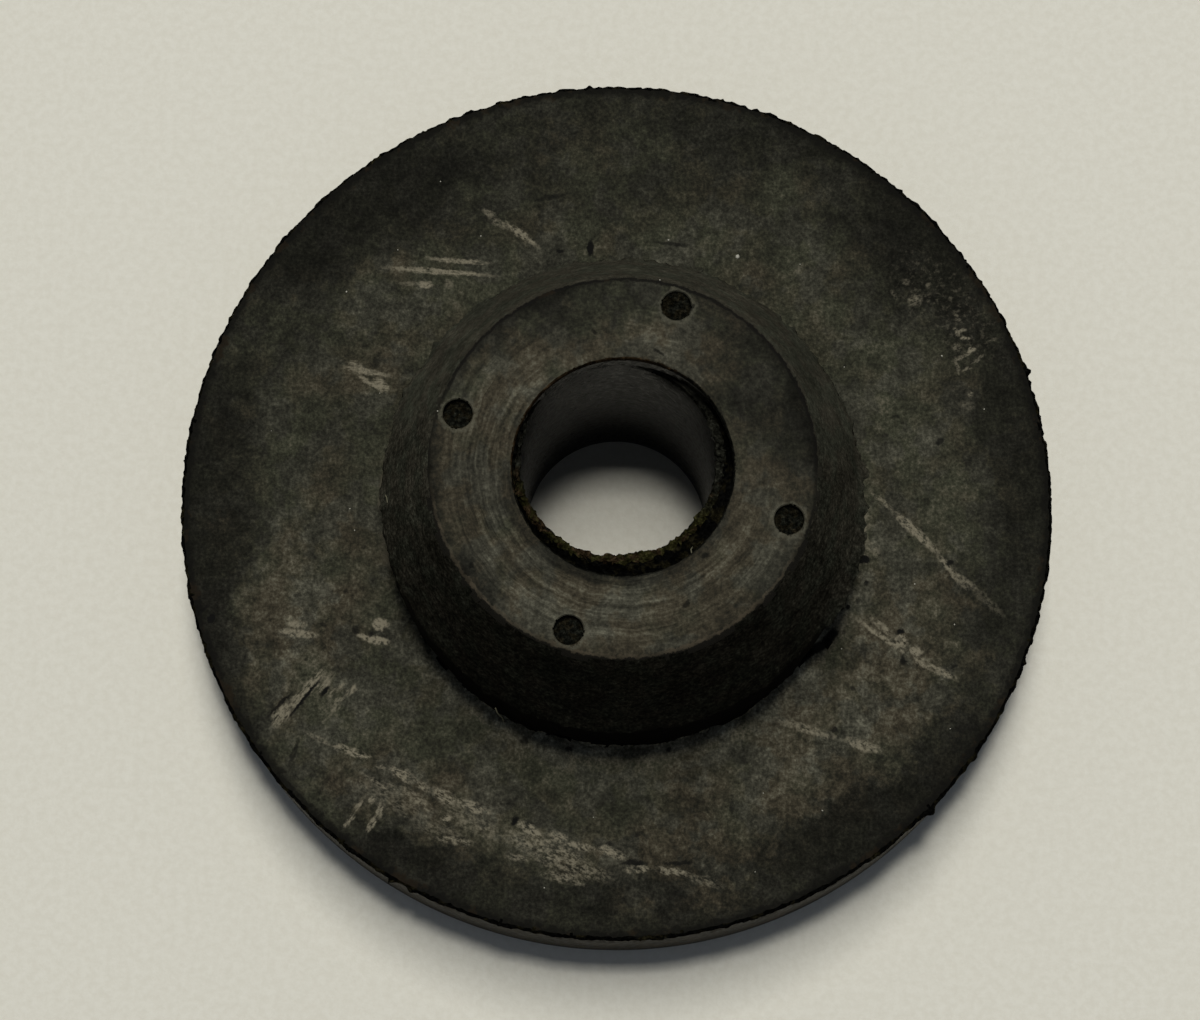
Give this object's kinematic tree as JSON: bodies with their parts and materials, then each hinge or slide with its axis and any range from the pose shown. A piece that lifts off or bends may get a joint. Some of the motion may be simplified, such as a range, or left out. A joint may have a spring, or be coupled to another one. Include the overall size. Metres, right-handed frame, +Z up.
{
  "type": "radiator mount",
  "caption": "Round black rubber mount with a thick flange, an off-centre tapered boss and a bolt hole through both.",
  "frame": {"origin": "centre of the flange's flat underside, on the axis of the bolt hole", "axes": "+Z up along the bolt hole towards the boss, -Y towards the side that the boss and its mouth lean to"},
  "size_m": [0.0508, 0.0508, 0.0213],
  "materials": {
    "rubber": "matt, scuffed and dusty"
  },
  "bodies": {
    "root": {"rubber_mount": "rubber"}
  },
  "joints": []
}
